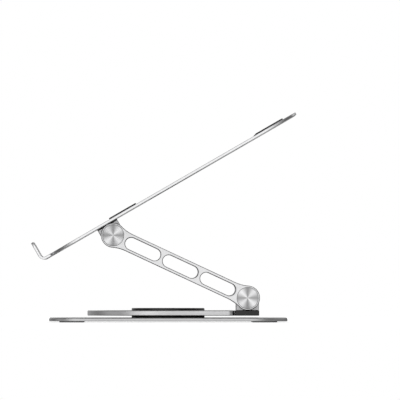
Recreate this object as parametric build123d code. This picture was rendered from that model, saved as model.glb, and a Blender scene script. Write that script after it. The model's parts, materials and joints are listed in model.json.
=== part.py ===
from build123d import *
from math import cos, radians, sin, sqrt
import os

# Folding laptop stand, in millimetres. X is the width, Y the depth with the user at -Y,
# and Z is up from the desk at Z = 0. A square base plate carries a turntable, two side
# arms hinge on the turntable, and the tray with its two front hooks hinges on the arms.

# Base plate and its feet
SWIVEL_Y = 4.1  # the vertical swivel axis lies this far behind the origin
BASE_SIZE = 215.0
BASE_THICK = 3.0
BASE_CORNER_R = 31.5
EDGE_CHAMFER = 0.5
PAD_THICK = 1.0
FOOT_R = 11.25
FOOT_REACH = 86.9  # from the swivel axis to each foot's centre, in X and in Y

# Turntable
RING_R = 33.0
RING_THICK = 2.0
PLATE_THICK = 4.6
PLATE_R = 73.0  # round front, which is also half the plate's width
PLATE_STRAIGHT = 59.7  # from the swivel axis back to the shoulders
PLATE_CORNER_R = 5.5
TONGUE_HALF = 52.0
TONGUE_END = 82.0
TONGUE_CORNER_R = 5.0
TOP_CAP_THICK = 2.2
HINGE_FOOT_GAP = 0.6  # behind the shoulder
HINGE_FOOT_OUTER = 72.0
FOOT_SIDE_GAP = 0.2

# Swivel post and the stack on it
POST_R = 6.0
POST_FLANGE_R = 12.4
POST_FLANGE_THICK = 1.5
RUNNING_GAP = 0.05  # radial clearance of every bore that turns on its shaft
POCKET_R = 20.0
POCKET_FLOOR = 2.0
SLIDE_WASHER_THICK = 0.5
SLIDE_WASHER_R = 19.0
SWIVEL_SPRING_R = 14.0
SWIVEL_SPRING_H = 1.0
POST_NUT_THICK = 2.3
POST_NUT_AF = 19.0

# Hinges
BASE_HINGE_BACK = 71.6  # behind the swivel axis
BASE_HINGE_Z = 22.0
ARM_LENGTH = 133.8  # hinge to hinge
ARM_ANGLE = 155.0  # from +Y towards +Z, at rest
TRAY_ANGLE = 30.0
BRACKET_INNER = 44.0
BRACKET_OUTER = 60.0
BRACKET_WIDTH = 20.4
SHIM_THICK = 1.1
SHAFT_R = 5.0
SHAFT_END_R = 4.0
SHAFT_HEAD_R = 7.5
SHAFT_HEAD_THICK = 1.7
WASHER_THICK = 0.6
INNER_WASHER_R = 9.0
OUTER_WASHER_THICK = 0.5
OUTER_WASHER_R = 8.2
SPRING_R = 7.6
SPRING_H = 1.0
SPRING_SHEET = 0.5
NUT_THICK = 2.5
NUT_AF = 13.0

# Arms and their caps
ARM_THICK = 8.0
ARM_HEAD_R = 11.1
ARM_BAR_HALF = 8.2
ARM_BLEND_R = 33.0
ARM_CHAMFER = 0.6
ARM_WEB = 3.0  # what the hinge stack clamps
SLOT_COUNT = 3
SLOT_LENGTH = 34.2
SLOT_WIDTH = 11.0
SLOT_PITCH = 37.35
CAP_R = 9.8
CAP_THICK = 1.2
CAP_SEAT = 0.6
CAP_POCKET_R = 8.9

# Tray, in its own frame: U runs back along the tray and V up from it, both from its hinge
TRAY_THICK = 2.4
TRAY_HALF = 125.0
TRAY_LENGTH = 265.0  # from the lip's outer face to the rear edge
TRAY_UNDER = 11.5  # from the hinge axis to the tray's underside
LIP_AHEAD = 67.7  # from the hinge axis to the lip's outer face
LIP_HEIGHT = 19.2
BEND_R = 5.5
HOOK_INNER = 75.0
HOOK_OUTER = 103.0
HOOK_REACH = 10.0  # from the lip's outer face to the tray's front edge
HOOK_TIP_R = 4.0
HOOK_ROOT_R = 3.0
TRAY_FRONT_R = 30.0
TRAY_REAR_R = 30.0
RECESS_HALF = 60.0
RECESS_DEPTH = 12.0
RECESS_R = 10.0
VENT_INNER = 9.0
VENT_OUTER = 87.0
VENT_START = 112.0  # from the lip's outer face
VENT_LENGTH = 100.0
VENT_R = 16.0
TRAY_EDGE_CHAMFER = 0.4
TRAY_PAD_INNER = 62.0
TRAY_PAD_OUTER = 118.0
TRAY_PAD_SPANS = {"front": (72.0, 99.6), "rear": (224.0, 252.0)}  # from the lip's face
TRAY_PAD_CORNER_R = 5.0
TRAY_PAD_THICK = 1.2
PAD_EDGE_R = 0.4

# Countersunk screws
SCREW_R = 2.0
SCREW_HEAD_R = 3.9
SCREW_HEAD_H = 1.9
SCREW_SOCKET_R = 1.45
SCREW_SOCKET_DEPTH = 1.1
BASE_SCREW_LENGTH = 9.0
TRAY_SCREW_LENGTH = 7.8
SCREW_REACH = 6.2  # from the hinge axis, along the tray or the base

# Heights and places that follow
BASE_BOTTOM = PAD_THICK
BASE_TOP = BASE_BOTTOM + BASE_THICK
PLATE_BOTTOM = BASE_TOP + RING_THICK
PLATE_TOP = PLATE_BOTTOM + PLATE_THICK
POCKET_Z = PLATE_BOTTOM + POCKET_FLOOR
SPRING_Z = POCKET_Z + SLIDE_WASHER_THICK
NUT_Z = SPRING_Z + SWIVEL_SPRING_H
POST_TOP = NUT_Z + POST_NUT_THICK
HINGE_Y = SWIVEL_Y + BASE_HINGE_BACK
BRACKET_R = BRACKET_WIDTH / 2
BRACKET_MID = (BRACKET_INNER + BRACKET_OUTER) / 2
ARM_INNER = BRACKET_OUTER + WASHER_THICK
ARM_OUTER = ARM_INNER + ARM_THICK
WEB_OUTER = ARM_INNER + ARM_WEB
SHOULDER = WEB_OUTER + OUTER_WASHER_THICK
NUT_INNER = SHOULDER + SPRING_H
SHAFT_END = NUT_INNER + NUT_THICK
CAP_INNER = ARM_OUTER - CAP_SEAT
TRAY_HINGE_Y = HINGE_Y + ARM_LENGTH * cos(radians(ARM_ANGLE))
TRAY_HINGE_Z = BASE_HINGE_Z + ARM_LENGTH * sin(radians(ARM_ANGLE))
TRAY_TOP = TRAY_UNDER + TRAY_THICK
LIP_U = -LIP_AHEAD
FRONT_U = LIP_U + HOOK_REACH
REAR_U = LIP_U + TRAY_LENGTH
BEND_U = LIP_U + BEND_R

AT_SWIVEL = Pos(0, SWIVEL_Y, 0)
AT_BASE_HINGE = Pos(0, HINGE_Y, BASE_HINGE_Z)
AT_TRAY_HINGE = Pos(0, TRAY_HINGE_Y, TRAY_HINGE_Z) * Rot(TRAY_ANGLE, 0, 0)
ALONG_ARM = AT_BASE_HINGE * Rot(ARM_ANGLE, 0, 0)
SIDES = {"left": -1, "right": 1}


def upright(profile):
    """Turn a closed profile of (radius, height) points about the Z axis."""
    return revolve(Plane.XZ * make_face(Polyline(*profile, close=True)), Axis.Z)


def lengthwise(profile):
    """Turn a closed profile of (x, radius) points about the X axis."""
    return revolve(make_face(Polyline(*profile, close=True)), Axis.X)


def tube_z(outer_r, inner_r, low, high):
    """An upright ring or washer."""
    return upright([(inner_r, low), (outer_r, low), (outer_r, high), (inner_r, high)])


def tube_x(outer_r, inner_r, start, end):
    """A ring or washer along X."""
    return lengthwise([(start, inner_r), (start, outer_r), (end, outer_r), (end, inner_r)])


def hexagon_z(across_flats, low, high):
    """An upright hexagonal prism."""
    outline = RegularPolygon(across_flats / 2, 6, major_radius=False)
    return Pos(0, 0, low) * extrude(outline, high - low)


def hexagon_x(across_flats, start, end):
    """A hexagonal prism along X."""
    outline = RegularPolygon(across_flats / 2, 6, major_radius=False)
    return Pos(start, 0, 0) * extrude(Plane.YZ * outline, end - start)


def slab(outline, low, high, edge):
    """An upright plate of the given outline with both its rims chamfered."""
    plate = Pos(0, 0, low) * extrude(outline, high - low)
    rims = plate.edges().group_by(Axis.Z)
    return chamfer(rims[0] + rims[-1], edge)


def on_side(shape, side):
    """The right-hand shape itself, or its mirror image for the left."""
    return shape if side == "right" else mirror(shape, about=Plane.YZ)


# Base: plate, feet, slide ring and swivel post


def base_plate():
    """The square plate, with a bore and a sunk seat for the swivel post."""
    outline = RectangleRounded(BASE_SIZE, BASE_SIZE, BASE_CORNER_R)
    plate = slab(outline, BASE_BOTTOM, BASE_TOP, EDGE_CHAMFER)
    plate -= tube_z(POST_FLANGE_R, 0, 0, BASE_BOTTOM + POST_FLANGE_THICK)
    plate -= tube_z(POST_R, 0, 0, BASE_TOP + 1)
    return AT_SWIVEL * plate


def foot_pad(x_sign, y_sign):
    """A round silicone foot under one corner of the base plate."""
    foot = Cylinder(FOOT_R, PAD_THICK, align=(Align.CENTER, Align.CENTER, Align.MIN))
    foot = fillet(foot.edges().group_by(Axis.Z)[0], PAD_EDGE_R)
    return AT_SWIVEL * Pos(x_sign * FOOT_REACH, y_sign * FOOT_REACH, 0) * foot


def swivel_post():
    """A flanged post, driven from below by a hexagonal socket."""
    flange_top = BASE_BOTTOM + POST_FLANGE_THICK
    profile = [
        (0, BASE_BOTTOM),
        (POST_FLANGE_R, BASE_BOTTOM),
        (POST_FLANGE_R, flange_top),
        (POST_R, flange_top),
        (POST_R, POST_TOP - EDGE_CHAMFER),
        (POST_R - EDGE_CHAMFER, POST_TOP),
        (0, POST_TOP),
    ]
    socket = hexagon_z(POST_R, 0, flange_top + POST_FLANGE_THICK)
    return AT_SWIVEL * (upright(profile) - socket)


def slide_ring():
    """The black ring that carries the turntable above the base plate."""
    return AT_SWIVEL * tube_z(RING_R, POST_R + RUNNING_GAP, BASE_TOP, PLATE_BOTTOM)


def slide_washer():
    """The plain washer that the turntable's pocket floor turns against."""
    return AT_SWIVEL * tube_z(SLIDE_WASHER_R, POST_R + RUNNING_GAP, POCKET_Z, SPRING_Z)


def disc_spring(inner_r, outer_r, start, height, sheet):
    """The profile of a conical spring washer, as (along the axis, radius) points."""
    return [
        (start, outer_r),
        (start + height - sheet, inner_r),
        (start + height, inner_r),
        (start + sheet, outer_r),
    ]


def swivel_spring_washer():
    """The disc spring that presses the turntable down on its ring."""
    inner_r = POST_R + RUNNING_GAP
    profile = disc_spring(inner_r, SWIVEL_SPRING_R, SPRING_Z, SWIVEL_SPRING_H, SPRING_SHEET)
    return AT_SWIVEL * upright([(radius, height) for height, radius in profile])


def swivel_lock_nut():
    """The hexagonal nut that sets the turntable's friction."""
    nut = hexagon_z(POST_NUT_AF, NUT_Z, POST_TOP)
    nut -= tube_z(POST_R + RUNNING_GAP, 0, NUT_Z - 1, POST_TOP + 1)
    return AT_SWIVEL * nut


# Turntable: plate, cap, hinge feet and brackets


def swivel_outline():
    """A round front, straight sides and a narrower tongue between the hinge feet."""
    sides = Rectangle(2 * PLATE_R, PLATE_STRAIGHT, align=(Align.CENTER, Align.MIN))
    tongue = Rectangle(2 * TONGUE_HALF, TONGUE_END, align=(Align.CENTER, Align.MIN))
    outline = Circle(PLATE_R) + sides + tongue
    corners = outline.vertices().group_by(Axis.Y)
    shoulders = corners[-2].filter_by(lambda v: abs(v.X) > TONGUE_HALF + 1)
    outline = fillet(shoulders, PLATE_CORNER_R)
    return fillet(outline.vertices().group_by(Axis.Y)[-1], TONGUE_CORNER_R)


def swivel_plate():
    """The turntable's plate, bored for the post and drilled for the brackets' screws."""
    plate = slab(swivel_outline(), PLATE_BOTTOM, PLATE_TOP, EDGE_CHAMFER)
    plate -= tube_z(POST_R + RUNNING_GAP, 0, PLATE_BOTTOM - 1, PLATE_TOP)
    plate -= tube_z(POCKET_R, 0, POCKET_Z, PLATE_TOP + 1)
    plate = AT_SWIVEL * plate
    for side in SIDES:
        for place in base_screw_places(side):
            plate -= place * countersink(BASE_SCREW_LENGTH)
    return plate


def top_cap():
    """The black disc that covers the post's nut, with a spigot in the plate's pocket."""
    wall = 0.8
    spigot_depth = 1.2
    spigot_inner = POCKET_R - 3
    cap_top = PLATE_TOP + TOP_CAP_THICK
    profile = [
        (0, cap_top - wall),
        (spigot_inner, cap_top - wall),
        (spigot_inner, PLATE_TOP - spigot_depth),
        (POCKET_R - RUNNING_GAP, PLATE_TOP - spigot_depth),
        (POCKET_R - RUNNING_GAP, PLATE_TOP),
        (RING_R, PLATE_TOP),
        (RING_R, cap_top),
        (0, cap_top),
    ]
    cap = upright(profile)
    rim = cap.edges().filter_by(GeomType.CIRCLE).group_by(Axis.Z)[-1]
    return AT_SWIVEL * fillet(rim, wall)


def hinge_foot(side):
    """The black block beside the tongue, under one arm's hinge."""
    inner = TONGUE_HALF + FOOT_SIDE_GAP
    front = PLATE_STRAIGHT + HINGE_FOOT_GAP
    width = HINGE_FOOT_OUTER - inner
    depth = TONGUE_END - front
    low = (Align.MIN, Align.MIN, Align.MIN)
    block = Pos(inner, front, PLATE_BOTTOM) * Box(width, depth, PLATE_THICK, align=low)
    block = fillet(block.edges().filter_by(Axis.Z), 1.0)
    rims = block.edges().group_by(Axis.Z)
    block = AT_SWIVEL * chamfer(rims[0] + rims[-1], PAD_EDGE_R)
    block = on_side(block, side)
    for place in base_screw_places(side):
        block -= place * countersink(BASE_SCREW_LENGTH)
    return block


def bracket_block(base_level):
    """A D-shaped block with its round end about the hinge axis, bored for the shaft."""
    low_corner = (Align.CENTER, Align.MAX if base_level < 0 else Align.MIN)
    outline = Circle(BRACKET_R) + Rectangle(BRACKET_WIDTH, abs(base_level), align=low_corner)
    block = Pos(BRACKET_INNER, 0, 0) * extrude(Plane.YZ * outline, BRACKET_OUTER - BRACKET_INNER)
    ends = block.edges().group_by(Axis.X)
    block = chamfer(ends[0] + ends[-1], PAD_EDGE_R)
    return block - tube_x(SHAFT_R, 0, BRACKET_INNER - 1, BRACKET_OUTER + 1)


def base_bracket(side):
    """The bracket that stands on the turntable and holds the lower hinge shaft."""
    block = AT_BASE_HINGE * bracket_block(PLATE_TOP - BASE_HINGE_Z)
    block = on_side(block, side)
    for place in base_screw_places(side):
        block -= place * countersink(BASE_SCREW_LENGTH)
    return block


# Countersunk screws, drawn with the head's face at Z = 0 and the shank towards -Z


def countersink(length):
    """The space that one screw fills, which is also its blank."""
    profile = [
        (0, 0),
        (SCREW_HEAD_R, 0),
        (SCREW_R, -SCREW_HEAD_H),
        (SCREW_R, -length),
        (0, -length),
    ]
    return upright(profile)


def screw(length):
    """A countersunk screw with a hexagonal socket."""
    socket = hexagon_z(2 * SCREW_SOCKET_R, -SCREW_SOCKET_DEPTH, 1)
    return countersink(length) - socket


def base_screw_places(side):
    """Two screws through the tongue and one through the hinge foot, heads down."""
    x_tongue = (BRACKET_INNER + BRACKET_MID) / 2
    x_foot = (BRACKET_OUTER + BRACKET_MID) / 2
    spots = [(x_tongue, SCREW_REACH), (x_tongue, -SCREW_REACH), (x_foot, 0)]
    return [
        Pos(SIDES[side] * x, HINGE_Y + y, PLATE_BOTTOM) * Rot(180, 0, 0) for x, y in spots
    ]


def tray_screw_places(side):
    """Two screws down through the tray, heads flush with its top."""
    x = SIDES[side] * BRACKET_MID
    return [AT_TRAY_HINGE * Pos(x, u, TRAY_TOP) for u in (SCREW_REACH, -SCREW_REACH)]


def screw_group(places, length):
    """Identical screws as one group of separate solids."""
    return Compound([place * screw(length) for place in places])


# Hinges: each is drawn on the right about the X axis, then placed and mirrored


def hinge_shaft():
    """A stepped shaft with a low head inside the bracket and a threaded outer end."""
    head = BRACKET_INNER - SHAFT_HEAD_THICK
    profile = [
        (head, 0),
        (head, SHAFT_HEAD_R - EDGE_CHAMFER),
        (head + EDGE_CHAMFER, SHAFT_HEAD_R),
        (BRACKET_INNER, SHAFT_HEAD_R),
        (BRACKET_INNER, SHAFT_R),
        (SHOULDER, SHAFT_R),
        (SHOULDER, SHAFT_END_R),
        (SHAFT_END, SHAFT_END_R),
        (SHAFT_END, 0),
    ]
    socket = hexagon_x(SHAFT_R, head - 1, BRACKET_INNER + SHAFT_HEAD_THICK)
    return lengthwise(profile) - socket


def hinge_inner_washer():
    """The friction washer between the bracket and the arm."""
    return tube_x(INNER_WASHER_R, SHAFT_R + RUNNING_GAP, BRACKET_OUTER, ARM_INNER)


def hinge_outer_washer():
    """The friction washer on the arm's web, inside its pocket."""
    return tube_x(OUTER_WASHER_R, SHAFT_R + RUNNING_GAP, WEB_OUTER, SHOULDER)


def hinge_spring_washer():
    """The disc spring that keeps the hinge stiff."""
    inner_r = SHAFT_END_R + RUNNING_GAP
    return lengthwise(disc_spring(inner_r, SPRING_R, SHOULDER, SPRING_H, SPRING_SHEET))


def hinge_nut():
    """The thin nut on the shaft's threaded end."""
    nut = hexagon_x(NUT_AF, NUT_INNER, SHAFT_END)
    return nut - tube_x(SHAFT_END_R + RUNNING_GAP, 0, NUT_INNER - 1, SHAFT_END + 1)


def hinge_cap():
    """The round cover pressed into the arm's pocket, with a fine groove inside its rim."""
    face = CAP_INNER + CAP_THICK
    groove = CAP_R - 1.0
    groove_depth = 0.15
    groove_width = 0.25
    rim_chamfer = 0.3
    spigot_inner = CAP_POCKET_R - 0.8
    spigot_end = CAP_INNER - 1.4
    profile = [
        (CAP_INNER, 0),
        (CAP_INNER, spigot_inner),
        (spigot_end, spigot_inner),
        (spigot_end, CAP_POCKET_R - RUNNING_GAP),
        (CAP_INNER, CAP_POCKET_R - RUNNING_GAP),
        (CAP_INNER, CAP_R),
        (face - rim_chamfer, CAP_R),
        (face, CAP_R - rim_chamfer),
        (face, groove),
        (face - groove_depth, groove),
        (face - groove_depth, groove - groove_width),
        (face, groove - groove_width),
        (face, 0),
    ]
    return lengthwise(profile)


HINGE_PIECES = {
    "hinge_shaft": hinge_shaft,
    "inner_washer": hinge_inner_washer,
    "outer_washer": hinge_outer_washer,
    "spring_washer": hinge_spring_washer,
    "nut": hinge_nut,
    "cap": hinge_cap,
}


# Arms


def arm_outline():
    """Two round heads blended into a straight bar, from (0, 0) to (ARM_LENGTH, 0)."""
    blend_v = ARM_BAR_HALF + ARM_BLEND_R
    blend_u = sqrt((ARM_HEAD_R + ARM_BLEND_R) ** 2 - blend_v**2)
    share = ARM_HEAD_R / (ARM_HEAD_R + ARM_BLEND_R)
    head_u, head_v = share * blend_u, share * blend_v
    far_blend, far_head = ARM_LENGTH - blend_u, ARM_LENGTH - head_u
    edges = []
    for up in (1, -1):
        edges += [
            RadiusArc((head_u, up * head_v), (blend_u, up * ARM_BAR_HALF), -up * ARM_BLEND_R),
            Line((blend_u, up * ARM_BAR_HALF), (far_blend, up * ARM_BAR_HALF)),
            RadiusArc((far_blend, up * ARM_BAR_HALF), (far_head, up * head_v), -up * ARM_BLEND_R),
        ]
    near_tip = (-ARM_HEAD_R, 0)
    far_tip = (ARM_LENGTH + ARM_HEAD_R, 0)
    edges.append(ThreePointArc((head_u, head_v), near_tip, (head_u, -head_v)))
    edges.append(ThreePointArc((far_head, head_v), far_tip, (far_head, -head_v)))
    return make_face(edges)


def arm(side):
    """A flat arm with three long slots and a bored pocket in each head."""
    outline = arm_outline()
    for index in range(SLOT_COUNT):
        offset = (index - (SLOT_COUNT - 1) / 2) * SLOT_PITCH
        outline -= Pos(ARM_LENGTH / 2 + offset, 0) * SlotOverall(SLOT_LENGTH, SLOT_WIDTH)
    body = Pos(ARM_INNER, 0, 0) * extrude(Plane.YZ * outline, ARM_THICK)
    faces = body.edges().group_by(Axis.X)
    body = chamfer(faces[0] + faces[-1], ARM_CHAMFER)
    for head in (0, ARM_LENGTH):
        at_head = Pos(0, head, 0)
        body -= at_head * tube_x(SHAFT_R + RUNNING_GAP, 0, ARM_INNER - 1, ARM_OUTER + 1)
        body -= at_head * tube_x(CAP_POCKET_R, 0, WEB_OUTER, ARM_OUTER + 1)
        body -= at_head * tube_x(CAP_R + RUNNING_GAP, 0, CAP_INNER, ARM_OUTER + 1)
    return on_side(ALONG_ARM * body, side)


# Tray


def corners_at(body, x, y):
    """A plate's upright corner edges at the given place, on both sides of the middle."""
    upright_edges = body.edges().filter_by(Axis.Z)
    return upright_edges.filter_by(
        lambda edge: abs(abs(edge.center().X) - x) < 0.5 and abs(edge.center().Y - y) < 0.5
    )


def flat_sheet(outline):
    """A piece of the tray's flat sheet."""
    return Pos(0, 0, TRAY_UNDER) * extrude(outline, TRAY_THICK)


def tray_plate():
    """The tray's flat part: rounded corners, a front recess, hook roots and two vents."""
    front_left = (-TRAY_HALF, FRONT_U)
    outline = Pos(front_left) * Rectangle(2 * TRAY_HALF, REAR_U - FRONT_U, align=Align.MIN)
    plate = flat_sheet(outline)
    plate = fillet(corners_at(plate, TRAY_HALF, REAR_U), TRAY_REAR_R)
    plate = fillet(corners_at(plate, TRAY_HALF, FRONT_U), TRAY_FRONT_R)
    plate -= flat_sheet(Pos(0, FRONT_U) * Rectangle(2 * RECESS_HALF, 2 * RECESS_DEPTH))
    plate = fillet(corners_at(plate, RECESS_HALF, FRONT_U + RECESS_DEPTH), RECESS_R)
    plate = fillet(corners_at(plate, RECESS_HALF, FRONT_U), HOOK_ROOT_R)
    beside_arc = HOOK_OUTER - (TRAY_HALF - TRAY_FRONT_R)
    arc_level = FRONT_U + TRAY_FRONT_R - sqrt(TRAY_FRONT_R**2 - beside_arc**2)
    root = Rectangle(HOOK_OUTER - HOOK_INNER, arc_level + 1 - BEND_U, align=Align.MIN)
    for root_x in (HOOK_INNER, -HOOK_OUTER):
        plate += flat_sheet(Pos(root_x, BEND_U) * root)
    plate = fillet(corners_at(plate, HOOK_INNER, FRONT_U), HOOK_ROOT_R)
    plate = fillet(corners_at(plate, HOOK_OUTER, arc_level), HOOK_ROOT_R)
    vent = RectangleRounded(VENT_OUTER - VENT_INNER, VENT_LENGTH, VENT_R)
    vent_y = LIP_U + VENT_START + VENT_LENGTH / 2
    for side in SIDES.values():
        plate -= flat_sheet(Pos(side * (VENT_INNER + VENT_OUTER) / 2, vent_y) * vent)
    return plate


def hook():
    """The bent strip and the upright lip at one side of the tray's front."""
    inner_r = BEND_R - TRAY_THICK
    top = TRAY_UNDER + LIP_HEIGHT
    bend_v = TRAY_UNDER + BEND_R
    outer_turn = BEND_R * (1 - sqrt(0.5))
    inner_turn = TRAY_THICK + inner_r * (1 - sqrt(0.5))
    outer = ThreePointArc(
        (BEND_U, TRAY_UNDER), (LIP_U + outer_turn, TRAY_UNDER + outer_turn), (LIP_U, bend_v)
    )
    inner = ThreePointArc(
        (LIP_U + TRAY_THICK, bend_v),
        (LIP_U + inner_turn, TRAY_UNDER + inner_turn),
        (BEND_U, TRAY_TOP),
    )
    lip = Polyline(
        (LIP_U, bend_v), (LIP_U, top), (LIP_U + TRAY_THICK, top), (LIP_U + TRAY_THICK, bend_v)
    )
    root = Line((BEND_U, TRAY_TOP), (BEND_U, TRAY_UNDER))
    profile = make_face([outer, lip, inner, root])
    strip = Pos(HOOK_INNER, 0, 0) * extrude(Plane.YZ * profile, HOOK_OUTER - HOOK_INNER)
    tip_corners = strip.edges().filter_by(Axis.Y).group_by(Axis.Z)[-1]
    return fillet(tip_corners, HOOK_TIP_R)


def is_rim(edge):
    """True for the tray's outer rims, not for the seams across or along its bends."""
    span = edge.bounding_box().size
    across_sheet = edge.length < TRAY_THICK + 0.1 and span.X < 0.01
    bend_line = span.Y < 0.01 and span.Z < 0.01 and edge.center().Y < BEND_U + 0.01
    at_tip = edge.center().Z > TRAY_UNDER + LIP_HEIGHT - 0.01
    return not across_sheet and (not bend_line or at_tip)


def tray():
    """The tray with its hooks and bevelled rims, drilled for the brackets' screws."""
    plate = tray_plate()
    for side in SIDES:
        plate += on_side(hook(), side)
    plate = chamfer(plate.edges().filter_by(is_rim), TRAY_EDGE_CHAMFER)
    plate = AT_TRAY_HINGE * plate
    for side in SIDES:
        for place in tray_screw_places(side):
            plate -= place * countersink(TRAY_SCREW_LENGTH)
    return plate


def tray_bracket(side):
    """The bracket under the tray that holds the upper hinge shaft."""
    block = on_side(AT_TRAY_HINGE * bracket_block(TRAY_UNDER - SHIM_THICK), side)
    for place in tray_screw_places(side):
        block -= place * countersink(TRAY_SCREW_LENGTH)
    return block


def tray_bracket_shim(side):
    """The thin black shim between the tray and its bracket."""
    low = TRAY_UNDER - SHIM_THICK
    outline = Pos(BRACKET_MID, 0) * RectangleRounded(
        BRACKET_OUTER - BRACKET_INNER, BRACKET_WIDTH, PAD_EDGE_R
    )
    shim = Pos(0, 0, low) * extrude(outline, SHIM_THICK)
    shim = on_side(AT_TRAY_HINGE * shim, side)
    for place in tray_screw_places(side):
        shim -= place * countersink(TRAY_SCREW_LENGTH)
    return shim


def tray_pad(end, side):
    """A flat silicone pad on the tray's top."""
    start, stop = TRAY_PAD_SPANS[end]
    middle = LIP_U + (start + stop) / 2
    outline = RectangleRounded(TRAY_PAD_OUTER - TRAY_PAD_INNER, stop - start, TRAY_PAD_CORNER_R)
    pad = extrude(outline, TRAY_PAD_THICK)
    pad = fillet(pad.edges().group_by(Axis.Z)[-1], PAD_EDGE_R)
    pad = Pos((TRAY_PAD_INNER + TRAY_PAD_OUTER) / 2, middle, TRAY_TOP) * pad
    return on_side(AT_TRAY_HINGE * pad, side)


def all_nodes():
    """Every piece of the stand by its node's name, in its place at rest."""
    nodes = {
        "base_plate": base_plate(),
        "swivel_post": swivel_post(),
        "slide_ring": slide_ring(),
        "slide_washer": slide_washer(),
        "swivel_spring_washer": swivel_spring_washer(),
        "swivel_lock_nut": swivel_lock_nut(),
        "swivel_plate": swivel_plate(),
        "top_cap": top_cap(),
        "tray": tray(),
    }
    for x_side, x_sign in SIDES.items():
        for y_end, y_sign in {"front": -1, "rear": 1}.items():
            nodes[f"foot_pad_{y_end}_{x_side}"] = foot_pad(x_sign, y_sign)
            nodes[f"tray_pad_{y_end}_{x_side}"] = tray_pad(y_end, x_side)
    for side in SIDES:
        nodes[f"hinge_foot_{side}"] = hinge_foot(side)
        nodes[f"base_bracket_{side}"] = base_bracket(side)
        nodes[f"base_screws_{side}"] = screw_group(base_screw_places(side), BASE_SCREW_LENGTH)
        nodes[f"arm_{side}"] = arm(side)
        nodes[f"tray_bracket_{side}"] = tray_bracket(side)
        nodes[f"tray_shim_{side}"] = tray_bracket_shim(side)
        nodes[f"tray_screws_{side}"] = screw_group(tray_screw_places(side), TRAY_SCREW_LENGTH)
        for level, place in {"lower": AT_BASE_HINGE, "upper": AT_TRAY_HINGE}.items():
            for piece, make in HINGE_PIECES.items():
                nodes[f"{level}_{piece}_{side}"] = on_side(place * make(), side)
    return nodes


os.makedirs("parts", exist_ok=True)
for name, shape in all_nodes().items():
    export_step(shape, f"parts/{name}.step")
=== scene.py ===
import json
import math

import bpy
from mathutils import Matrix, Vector

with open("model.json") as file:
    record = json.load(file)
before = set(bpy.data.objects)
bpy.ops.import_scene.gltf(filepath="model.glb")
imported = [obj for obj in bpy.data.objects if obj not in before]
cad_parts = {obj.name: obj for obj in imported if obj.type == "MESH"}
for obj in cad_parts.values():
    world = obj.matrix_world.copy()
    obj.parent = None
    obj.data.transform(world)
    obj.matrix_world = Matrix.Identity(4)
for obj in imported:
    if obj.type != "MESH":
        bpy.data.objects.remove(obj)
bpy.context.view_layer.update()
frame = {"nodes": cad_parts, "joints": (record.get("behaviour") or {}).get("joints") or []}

# The laptop stand's looks, in metres: materials for the CAD nodes, floor, light and camera.
# X is the stand's width, its hooked front is at -Y and Z is up.

MM = 0.001


# Places that follow from the frame


def joint_place(name):
    """A joint's point on its axis, at rest."""
    for joint in frame["joints"]:
        if joint["name"] == name:
            return Vector(joint["pos_m"])
    raise KeyError(name)


LOWER_HINGE = joint_place("arm_lift")
UPPER_HINGE = joint_place("tray_tilt")
SWIVEL = joint_place("swivel")
TRAY_TILT = math.radians(30)
TRAY_UP = (0.0, -math.sin(TRAY_TILT), math.cos(TRAY_TILT))
X_AXIS = (1, 0, 0)
Z_AXIS = (0, 0, 1)


# Node building


NOISE_SPAN = (0.3, 0.7)  # where most of a noise's values lie
WHITE = (1, 1, 1, 1)
BLUE_SHARE = 1.008


class Graph:
    """A short way to add and join shader nodes in one node tree."""

    def __init__(self, tree):
        self.tree = tree
        tree.nodes.clear()

    def add(self, kind, inputs=None, **settings):
        node = self.tree.nodes.new(kind)
        for key, value in settings.items():
            setattr(node, key, value)
        for key, value in (inputs or {}).items():
            self.feed(node.inputs[key], value)
        return node

    def feed(self, socket, value):
        """Link a socket to another one, or set its value."""
        if isinstance(value, bpy.types.NodeSocket):
            self.tree.links.new(value, socket)
        else:
            socket.default_value = value

    def math(self, operation, *values):
        node = self.add("ShaderNodeMath", operation=operation)
        for index, value in enumerate(values):
            self.feed(node.inputs[index], value)
        return node.outputs[0]

    def product(self, first, *others):
        for other in others:
            first = self.math("MULTIPLY", first, other)
        return first

    def total(self, first, *others):
        for other in others:
            first = self.math("ADD", first, other)
        return first

    def vector(self, operation, first, second=None):
        node = self.add("ShaderNodeVectorMath", operation=operation)
        self.feed(node.inputs[0], first)
        if second is not None:
            self.feed(node.inputs[1], second)
        return node.outputs["Value" if operation in ("LENGTH", "DOT_PRODUCT") else "Vector"]

    def place(self):
        """The shaded point in the part's frame at rest, which moves along with its node."""
        return self.add("ShaderNodeTexCoord").outputs["Object"]

    def noise(self, place, size, detail=2.0, roughness=0.5):
        """Noise between 0 and 1 whose features are about the given size in metres."""
        inputs = {"Vector": place, "Scale": 1 / size, "Detail": detail, "Roughness": roughness}
        return self.add("ShaderNodeTexNoise", inputs).outputs["Fac"]

    def remap(self, value, span, to_span):
        """A value held within a span and stretched to another one."""
        inputs = {
            "Value": value, "From Min": span[0], "From Max": span[1],
            "To Min": to_span[0], "To Max": to_span[1],
        }
        return self.add("ShaderNodeMapRange", inputs).outputs["Result"]

    def mix(self, factor, first, second):
        """A blend of two colours."""
        node = self.add("ShaderNodeMix", data_type="RGBA")
        self.feed(node.inputs["Factor"], factor)
        self.feed(node.inputs["A"], first)
        self.feed(node.inputs["B"], second)
        return node.outputs["Result"]

    def bump(self, height, strength, distance, below=None):
        inputs = {"Height": height, "Strength": strength, "Distance": distance}
        if below is not None:
            inputs["Normal"] = below
        return self.add("ShaderNodeBump", inputs).outputs["Normal"]


def new_material(name):
    material = bpy.data.materials.new(name)
    material.use_nodes = True
    return material, Graph(material.node_tree)


def finish_material(graph, inputs):
    shader = graph.add("ShaderNodeBsdfPrincipled", inputs)
    graph.add("ShaderNodeOutputMaterial", {"Surface": shader.outputs[0]})


def grey(level):
    """A neutral colour, with the faint blue of aluminium."""
    return (level, level, level * BLUE_SHARE, 1.0)


# Materials


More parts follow.
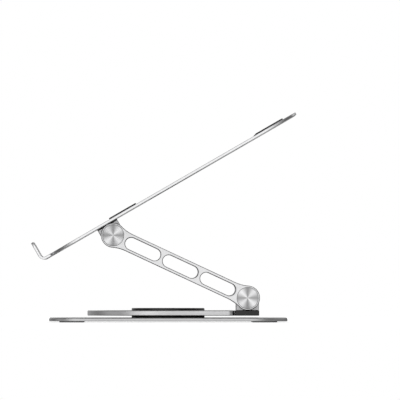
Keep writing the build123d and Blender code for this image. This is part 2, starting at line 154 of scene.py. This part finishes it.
RIM_START = (0.15, 0.35)  # how far a normal leans to the faces' axis where a bevel begins
RIM_END = (0.85, 0.97)  # and where it ends
FACE_START = (0.97, 0.99)
BLAST_ROUGHNESS = (0.30, 0.335)
SMUDGE_ROUGHNESS = (0, 0.03)
DIVISION_GUARD = 1e-9  # keeps a division by the squared radius from zero
CAP_RIM_R = 9.4 * MM
CAP_RIM_SPAN = (CAP_RIM_R - 0.1 * MM, CAP_RIM_R + 0.1 * MM)
CAP_RIM_TONE = 0.3
CAP_PAINTED_HIGHLIGHT_POWER = 1.5
CAP_ROUGHNESS = (0.31, 0.35)
QUARTER_TURN = 0.25
STEEL_DARK = (0.50, 0.51, 0.53, 1)
STEEL_LIGHT = (0.64, 0.64, 0.65, 1)
STEEL_ROUGHNESS = (0.30, 0.40)


def blasted_aluminium(name, level, axis, rim_shade_share=0.55, face_tooth=0.0):
    """Bead-blasted, anodised aluminium, for a plate whose faces look along an axis.

    Its bevelled rims are painted darker by the rim share, as painted shade, and its faces
    rougher by face_tooth.
    """
    material, graph = new_material(name)
    place = graph.place()
    grain = graph.noise(place, 0.25 * MM, 3.0, 0.6)
    mottle = graph.noise(place, 3.5 * MM, 3.0)
    smudge = graph.noise(place, 45 * MM, 2.0)

    normal = graph.add("ShaderNodeTexCoord").outputs["Normal"]
    facing = graph.math("ABSOLUTE", graph.vector("DOT_PRODUCT", normal, axis))
    # Painted shade on the bevels, where a normal leans between the faces' axis and across it.
    painted_rim_shade = graph.product(
        graph.remap(facing, RIM_START, (0, 1)), graph.remap(facing, RIM_END, (1, 0))
    )

    colour = graph.mix(graph.remap(smudge, NOISE_SPAN, (0, 1)), grey(level * 0.98), grey(level))
    colour = graph.mix(graph.remap(grain, (0.35, 0.7), (0, 0.03)), colour, grey(level * 0.8))
    # The bevels are painted darker: painted shade.
    colour = graph.mix(painted_rim_shade, colour, grey(level * rim_shade_share))
    rough = graph.total(
        graph.remap(mottle, NOISE_SPAN, BLAST_ROUGHNESS),
        graph.remap(smudge, (0.35, 0.65), SMUDGE_ROUGHNESS),
        graph.remap(facing, FACE_START, (0, face_tooth)),
    )
    relief = graph.bump(mottle, 0.006, 0.2 * MM)
    relief = graph.bump(grain, 0.005, 0.03 * MM, relief)
    finish_material(graph, {
        "Base Color": colour, "Metallic": 1.0, "Roughness": rough, "Normal": relief,
    })
    return material


def turned_aluminium(name, centre, painted_shade_level, painted_highlight_level):
    """A lathe-turned cap, whose fine rings spread the light out along its radii.

    Its colour holds a painted bow-tie highlight: painted shade upright and level,
    and a painted highlight along the diagonals between.
    """
    material, graph = new_material(name)
    place = graph.place()
    flat = graph.vector("MULTIPLY", graph.vector("SUBTRACT", place, centre), (0.0, 1.0, 1.0))
    radius = graph.vector("LENGTH", flat)
    along_radius = graph.add("ShaderNodeCombineXYZ", {"X": radius}).outputs[0]
    rings = graph.noise(along_radius, 0.14 * MM, 3.0, 0.6)
    broad_rings = graph.noise(along_radius, 1.0 * MM, 2.0)
    fleck = graph.noise(place, 0.3 * MM, 2.0)

    # Painted bow-tie highlight: the colour is darker upright and level, and lighter along the
    # diagonals.
    parts = graph.add("ShaderNodeSeparateXYZ", {"Vector": flat}).outputs
    across = graph.math("ABSOLUTE", graph.product(parts["Y"], parts["Z"]))
    square = graph.total(graph.product(radius, radius), DIVISION_GUARD)
    painted_highlight = graph.product(graph.math("DIVIDE", across, square), 2.0)

    colour = graph.mix(graph.math("POWER", painted_highlight, CAP_PAINTED_HIGHLIGHT_POWER), grey(painted_shade_level), grey(painted_highlight_level))
    colour = graph.mix(graph.remap(rings, NOISE_SPAN, (0, 0.12)), colour, grey(0.6))
    colour = graph.mix(graph.remap(fleck, (0.4, 0.7), (0, 0.06)), colour, grey(0.5))
    colour = graph.mix(graph.remap(radius, CAP_RIM_SPAN, (0, 1)), colour, grey(CAP_RIM_TONE))
    finish_material(graph, {
        "Base Color": colour, "Metallic": 1.0,
        "Roughness": graph.remap(broad_rings, NOISE_SPAN, CAP_ROUGHNESS),
        "Normal": graph.bump(rings, 0.008, 0.03 * MM),
        "Anisotropic": 0.85, "Anisotropic Rotation": QUARTER_TURN,
        "Tangent": graph.add("ShaderNodeTangent", direction_type="RADIAL", axis="X").outputs[0],
    })
    return material


def moulded_black(name, level, roughness):
    """Black plastic with a fine moulded grain."""
    material, graph = new_material(name)
    place = graph.place()
    cell_size = 0.5 * MM
    cells = graph.add("ShaderNodeTexVoronoi", {"Vector": place, "Scale": 1 / cell_size})
    cloud = graph.noise(place, 12 * MM, 3.0)
    colour = graph.mix(
        graph.remap(cloud, NOISE_SPAN, (0, 1)), grey(level * 0.8), grey(level * 1.2)
    )
    finish_material(graph, {
        "Base Color": colour,
        "Roughness": graph.remap(cloud, NOISE_SPAN, (roughness - 0.03, roughness + 0.04)),
        "Normal": graph.bump(cells.outputs["Distance"], 0.06, 0.04 * MM),
    })
    return material


def silicone(name, level):
    """Matte silicone with a soft tooth and a little dust."""
    material, graph = new_material(name)
    place = graph.place()
    tooth = graph.noise(place, 0.4 * MM, 3.0, 0.65)
    dust = graph.noise(place, 5 * MM, 4.0, 0.6)
    colour = graph.mix(graph.remap(dust, (0.45, 0.75), (0, 0.5)), grey(level), grey(level * 2.2))
    finish_material(graph, {
        "Base Color": colour,
        "Roughness": graph.remap(dust, NOISE_SPAN, (0.6, 0.72)),
        "Normal": graph.bump(tooth, 0.2, 0.06 * MM),
    })
    return material


def plated_steel(name):
    """Zinc-plated steel for the shafts, nuts, springs and screws."""
    material, graph = new_material(name)
    place = graph.place()
    spangle = graph.noise(place, 0.9 * MM, 3.0)
    fine = graph.noise(place, 0.2 * MM, 2.0)
    finish_material(graph, {
        "Base Color": graph.mix(
            graph.remap(spangle, NOISE_SPAN, (0, 1)), STEEL_DARK, STEEL_LIGHT
        ),
        "Metallic": 1.0,
        "Roughness": graph.remap(spangle, NOISE_SPAN, STEEL_ROUGHNESS),
        "Normal": graph.bump(fine, 0.08, 0.04 * MM),
    })
    return material


def dress(material, *starts):
    """Give a material to every node whose name starts with one of the given words."""
    for name, node in frame["nodes"].items():
        if name.startswith(starts):
            for slot in node.material_slots:
                slot.material = material


def dress_stand():
    """Every node's material. The aluminium levels and the slide ring's level hold painted light
    and shade; the other plastic and silicone levels are their own.
    """
    # The aluminium parts are one silver in lit and shaded copies. The base plate, swivel plate
    # and brackets are painted darker as painted shade, and the tray and arms lighter.
    dress(blasted_aluminium("shaded_base_aluminium", 0.61, Z_AXIS, face_tooth=0.12), "base_plate")
    dress(blasted_aluminium("shaded_swivel_aluminium", 0.74, Z_AXIS, face_tooth=0.12), "swivel_plate")
    dress(blasted_aluminium("tray_aluminium", 0.97, TRAY_UP, rim_shade_share=0.45), "tray")
    dress(
        blasted_aluminium("shaded_bracket_aluminium", 0.60, X_AXIS, rim_shade_share=0.8),
        "base_bracket", "tray_bracket",
    )
    dress(blasted_aluminium("arm_aluminium", 0.86, X_AXIS), "arm_")
    # Both caps carry the painted bow-tie highlight. The upper cap's is painted a little
    # brighter, to make up for the tray's shade over it.
    dress(turned_aluminium("lower_cap_aluminium", LOWER_HINGE, 0.40, 0.97), "lower_cap")
    dress(turned_aluminium("upper_cap_aluminium", UPPER_HINGE, 0.41, 1.0), "upper_cap")
    dress(moulded_black("gloss_plastic", 0.006, 0.22), "top_cap", "hinge_foot")
    # The tray shim's black is painted shade: it stands in for the shadow line under the tray.
    dress(
        moulded_black("satin_plastic", 0.035, 0.45), "slide_washer", "tray_shim",
        "lower_inner", "upper_inner", "lower_outer", "upper_outer",
    )
    # The slide ring's plastic is painted lighter than the other black plastic, as painted light
    # where the plates shade it.
    dress(moulded_black("ring_plastic_painted_light", 0.09, 0.5), "slide_ring")
    dress(silicone("tray_silicone", 0.014), "tray_pad")
    dress(silicone("foot_silicone", 0.05), "foot_pad")
    dress(
        plated_steel("zinc_steel"), "swivel_post", "swivel_spring", "swivel_lock",
        "base_screws", "tray_screws", "lower_hinge", "upper_hinge", "lower_spring",
        "upper_spring", "lower_nut", "upper_nut",
    )


# Floor


FLOOR_DIM = (0.80, 0.80, 0.80, 1)
FLOOR_PALE = (0.83, 0.83, 0.83, 1)
FLOOR_REACH = 1.6
FLOOR_STEPS = 96
FLOOR_GLOW_SPAN = (0.3, 1.3)  # distance from the middle
FLOOR_GLOW = (0.61, 1.15)


def make_floor():
    """A plain pale disc that the stand rests on, which glows to white towards its edge."""
    turns = [math.tau * step / FLOOR_STEPS for step in range(FLOOR_STEPS)]
    points = [(0, 0, 0)]
    points += [(FLOOR_REACH * math.cos(turn), FLOOR_REACH * math.sin(turn), 0) for turn in turns]
    faces = [(0, step + 1, (step + 1) % FLOOR_STEPS + 1) for step in range(FLOOR_STEPS)]
    mesh = bpy.data.meshes.new("floor")
    mesh.from_pydata(points, [], faces)
    floor = bpy.data.objects.new("floor", mesh)
    bpy.context.collection.objects.link(floor)

    material, graph = new_material("pale_floor")
    place = graph.place()
    cloud = graph.noise(place, 0.5)
    glow = graph.remap(graph.vector("LENGTH", place), FLOOR_GLOW_SPAN, FLOOR_GLOW)
    finish_material(graph, {
        "Base Color": graph.mix(cloud, FLOOR_DIM, FLOOR_PALE),
        "Roughness": 0.8, "Specular IOR Level": 0.2,
        "Emission Color": WHITE, "Emission Strength": glow,
    })
    material.cycles.emission_sampling = "NONE"
    mesh.materials.append(material)
    floor.visible_glossy = False


# Light. The world's brightness is given by direction: x, y and z of a unit vector.


def cosine(degrees):
    return math.cos(math.radians(degrees))


AMBIENT = 0.07
SIDE_TURN = (-0.3, 0.3)  # x, from the far side to the camera's side
REAR_TURN = (0.1, 0.4)  # y, from the middle to the rear

SIDE_LEVEL = 1.12
SIDE_POWER = 8.0
FAR_SIDE_SHARE = 0.4
FAR_REAR_SHARE = 0.1

JUST_OVER_ONE = 1.0001  # keeps the banks' division from zero straight to the side
BANK_LEVEL = 0.9
BANK_POWER = 16.0
BANK_INNER = (cosine(12), cosine(30))
BANK_OUTER = (cosine(70), cosine(50))

STRIP_LEVEL = 1.0
STRIP_TURN = math.radians(40)
STRIP_EDGE = (cosine(30), cosine(8))
STRIP_SIDE = (-0.3, 0.1)
STRIP_FAR_SHARE = 0.2
FRONT_LEVEL = 0.45
FRONT_EDGE = (-cosine(8), -cosine(24))
REAR_LEVEL = 0.3
REAR_EDGE = (0.3, 0.9)
REAR_TOP = (0.05, 0.2)
STRIP_FOOT = (-0.22, -0.06)
STRIP_TOP = (0.1, 0.35)

END_LEVEL = 0.4
END_FOOT = (0.05, 0.25)
END_TOP = (0.3, 0.5)
END_REAR = (0, 0.8)
END_REAR_SHARE = 0.4

ABOVE_LEVEL = 0.45
ABOVE_EDGE = (0.85, 1.0)
BELOW_LEVEL = 0.8
BELOW_EDGE = (-0.9, -0.6)


def side_light(graph, side, x, y):
    """The glow beyond both sides, over the ambient level, weaker on the far side."""
    far_share = graph.remap(y, REAR_TURN, (FAR_SIDE_SHARE, FAR_REAR_SHARE))
    share = graph.remap(x, SIDE_TURN, (far_share, 1))
    glow = graph.product(graph.math("POWER", side, SIDE_POWER), share)
    return graph.remap(glow, (0, 1), (AMBIENT, SIDE_LEVEL))


def bank_light(graph, side, x, y, z):
    """Four soft banks round each side, on the diagonals between level and upright."""
    across = graph.product(y, z)
    spread = graph.math("SUBTRACT", JUST_OVER_ONE, graph.product(x, x))
    diagonal = graph.math("ABSOLUTE", graph.math("DIVIDE", across, spread))
    diagonal = graph.math("POWER", graph.product(diagonal, 2.0), BANK_POWER)
    far_share = graph.remap(y, REAR_TURN, (1, FAR_REAR_SHARE))
    return graph.product(
        diagonal,
        graph.remap(side, BANK_INNER, (0, 1)),
        graph.remap(side, BANK_OUTER, (0, 1)),
        graph.remap(x, SIDE_TURN, (far_share, 1)),
        BANK_LEVEL,
    )


def strip_light(graph, side, x, y, z):
    """Low strips at the front corners, the front and the rear, for the plates' edges."""
    towards_front = graph.product(y, -math.sin(STRIP_TURN))
    towards_side = graph.product(side, math.cos(STRIP_TURN))
    corner = graph.product(
        graph.remap(graph.total(towards_front, towards_side), STRIP_EDGE, (0, STRIP_LEVEL)),
        graph.remap(x, STRIP_SIDE, (STRIP_FAR_SHARE, 1)),
    )
    front = graph.remap(y, FRONT_EDGE, (FRONT_LEVEL, 0))
    rear = graph.product(
        graph.remap(y, REAR_EDGE, (0, REAR_LEVEL)), graph.remap(z, REAR_TOP, (1, 0))
    )
    return graph.product(
        graph.total(corner, graph.total(front, rear)),
        graph.remap(z, STRIP_FOOT, (0, 1)),
        graph.remap(z, STRIP_TOP, (1, 0)),
    )


def end_light(graph, x, y, z):
    """A band above the horizon at the front and, dimmer, at the rear."""
    return graph.product(
        graph.math("SUBTRACT", 1.0, graph.product(x, x)),
        graph.remap(z, END_FOOT, (0, END_LEVEL)),
        graph.remap(z, END_TOP, (1, 0)),
        graph.remap(y, END_REAR, (1, END_REAR_SHARE)),
    )


def make_world():
    """A studio that looks white to the camera and lights the stand by direction."""
    world = bpy.data.worlds.new("studio")
    bpy.context.scene.world = world
    world.use_nodes = True
    graph = Graph(world.node_tree)
    direction = graph.add("ShaderNodeTexCoord").outputs["Generated"]
    x, y, z = graph.add("ShaderNodeSeparateXYZ", {"Vector": direction}).outputs
    side = graph.math("ABSOLUTE", x)
    level = graph.total(
        side_light(graph, side, x, y),
        bank_light(graph, side, x, y, z),
        strip_light(graph, side, x, y, z),
        end_light(graph, x, y, z),
        graph.remap(z, ABOVE_EDGE, (0, ABOVE_LEVEL)),
        graph.remap(z, BELOW_EDGE, (BELOW_LEVEL, 0)),
    )

    studio = graph.add("ShaderNodeBackground", {"Color": WHITE, "Strength": level})
    white = graph.add("ShaderNodeBackground", {"Color": WHITE, "Strength": 1.0})
    seen = graph.add("ShaderNodeLightPath").outputs["Is Camera Ray"]
    both = graph.add("ShaderNodeMixShader", {0: seen, 1: studio.outputs[0], 2: white.outputs[0]})
    graph.add("ShaderNodeOutputWorld", {"Surface": both.outputs[0]})


LIGHT_AIM = (0, 0, 0.08)
LIGHT_SIZE = 1.8
KEY_PLACE, KEY_POWER = (0.9, -0.9, 1.3), 9
FILL_PLACE, FILL_POWER = (-0.9, 0.4, 1.3), 6


def look_at(item, place, aim):
    """Put a camera or a light at a place, turned to an aim."""
    item.location = place
    item.rotation_mode = "QUATERNION"
    item.rotation_quaternion = (Vector(aim) - Vector(place)).to_track_quat("-Z", "Y")


def add_light(name, place, power):
    """A soft square light that faces the stand."""
    data = bpy.data.lights.new(name, "AREA")
    data.shape = "SQUARE"
    data.size = LIGHT_SIZE
    data.energy = power
    light = bpy.data.objects.new(name, data)
    bpy.context.collection.objects.link(light)
    look_at(light, place, LIGHT_AIM)


# Camera


VIEW_WIDTH = 0.360
SENSOR = 36.0
LENS = 1600.0
CAMERA_AIM = Vector((0.1, SWIVEL.y + 0.0285, 0.1102))
CAMERA_FORWARD = 0.0626  # the camera stands this far in front of its aim, towards -Y
CAMERA_DROP = 0.065  # and this far below it, so that the plates stay edge-on


def make_camera():
    """A very long lens beyond the right side, near the tray's own plane."""
    data = bpy.data.cameras.new("camera")
    data.sensor_width = SENSOR
    data.lens = LENS
    data.clip_start, data.clip_end = 1.0, 100.0
    camera = bpy.data.objects.new("camera", data)
    bpy.context.collection.objects.link(camera)
    away = Vector((VIEW_WIDTH * LENS / SENSOR, -CAMERA_FORWARD, -CAMERA_DROP))
    look_at(camera, CAMERA_AIM + away, CAMERA_AIM)
    bpy.context.scene.camera = camera


dress_stand()
make_floor()
make_world()
add_light("key", KEY_PLACE, KEY_POWER)
add_light("fill", FILL_PLACE, FILL_POWER)
make_camera()
bpy.context.scene.view_settings.view_transform = "Standard"
